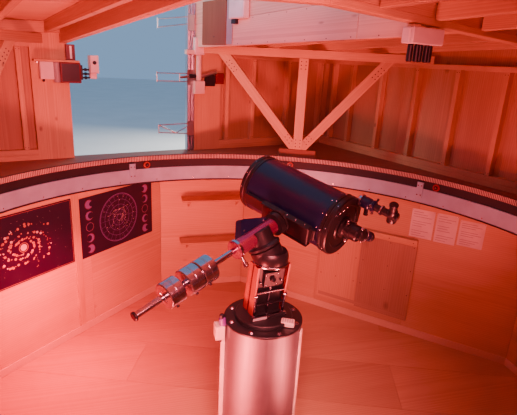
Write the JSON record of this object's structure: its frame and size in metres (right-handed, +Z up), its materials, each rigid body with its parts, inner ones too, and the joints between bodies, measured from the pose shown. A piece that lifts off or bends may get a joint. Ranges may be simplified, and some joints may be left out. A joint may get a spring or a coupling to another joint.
{
  "type": "observatory dome with telescope",
  "caption": "Timber observatory room with cut corners, a square rotating slit roof on a round track ring, and a pier-mounted equatorial telescope inside.",
  "frame": {"origin": "on the ground under the middle of the pier and of the track ring", "axes": "+Z up along the turning axis of the top; the room's short walls face +X, +Y, -X and -Y and its long walls the directions between; at rest the slit faces -Y turned 17.7 degrees towards +X"},
  "size_m": [6.5348, 6.5348, 3.6449],
  "materials": {
    "pine": "sawn pine, unpainted",
    "plywood": "knotty softwood plywood",
    "floor_boards": "pine floor boards, matt lacquer",
    "roof_felt": "mineral roofing felt",
    "band_metal": "light grey paint",
    "belt_metal": "dull beige toothed belt on a steel ring",
    "pier_steel": "brushed",
    "bright_steel": "polished",
    "bare_aluminium": "mill finish",
    "dark_metal": "satin black",
    "dark_alloy": "black anodised",
    "mount_paint": "dark red paint",
    "tube_paint": "dark blue gloss paint",
    "corrector_glass": "coated glass",
    "chart_board": "printed board",
    "white_plastic": "matt"
  },
  "bodies": {
    "building": {"floor_deck": "floor_boards", "wall_panel_1": "plywood", "wall_panel_2": "plywood", "wall_panel_3": "plywood", "wall_panel_4": "plywood", "wall_panel_5": "plywood", "wall_panel_6": "plywood", "wall_panel_7": "plywood", "wall_panel_8": "plywood", "door_frame": "pine", "door_leaf": "plywood", "curb_deck": "pine", "track_ring": "band_metal", "shelf_upper": "pine", "shelf_lower": "pine", "hatch_panel": "plywood", "wall_chart_left": "chart_board", "wall_chart_right": "chart_board", "pier_column": "pier_steel", "pier_top_plate": "dark_metal", "pier_conduit": "pier_steel", "mount_base": "dark_metal"},
    "rotating_top": {"rotating_ring": "belt_metal", "ledge_deck": "plywood", "wall_rear": "pine", "wall_left": "pine", "wall_right": "pine", "wall_front_left": "pine", "wall_front_right": "pine", "slit_coaming": "plywood", "main_beam": "pine", "joists_left": "pine", "joists_right": "pine", "joists_rear": "pine", "roof_deck": "roof_felt", "corner_truss_1": "pine", "corner_truss_2": "pine", "slit_lid_left": "roof_felt", "slit_lid_right": "roof_felt", "wall_shutter_left": "plywood", "wall_shutter_right": "plywood", "equipment_box": "white_plastic", "jamb_post": "bare_aluminium", "instrument_rack": "white_plastic"},
    "ra_axis": {"ra_head": "mount_paint", "weight_shaft": "bright_steel", "weight_1": "bright_steel", "weight_2": "bright_steel", "weight_3": "bright_steel"},
    "dec_axis": {"dec_saddle": "dark_alloy", "telescope_tube": "tube_paint", "corrector_plate": "corrector_glass", "eyepiece_end": "dark_alloy", "finder_scope": "dark_alloy"}
  },
  "joints": [
    {"name": "top_rotation", "type": "hinge", "parent": "building", "child": "rotating_top", "pos_m": [0, 0, 1.94], "axis": [0, 0, 1], "continuous": true},
    {"name": "right_ascension", "type": "hinge", "parent": "building", "child": "ra_axis", "pos_m": [0.08, 0.062, 1.942], "axis": [0.4028, -0.2382, 0.8838], "range_deg": [-90, 15]},
    {"name": "declination", "type": "hinge", "parent": "ra_axis", "child": "dec_axis", "pos_m": [0.08, 0.062, 1.942], "axis": [-0.8247, -0.5133, 0.2375], "range_deg": [-150, 150]}
  ]
}
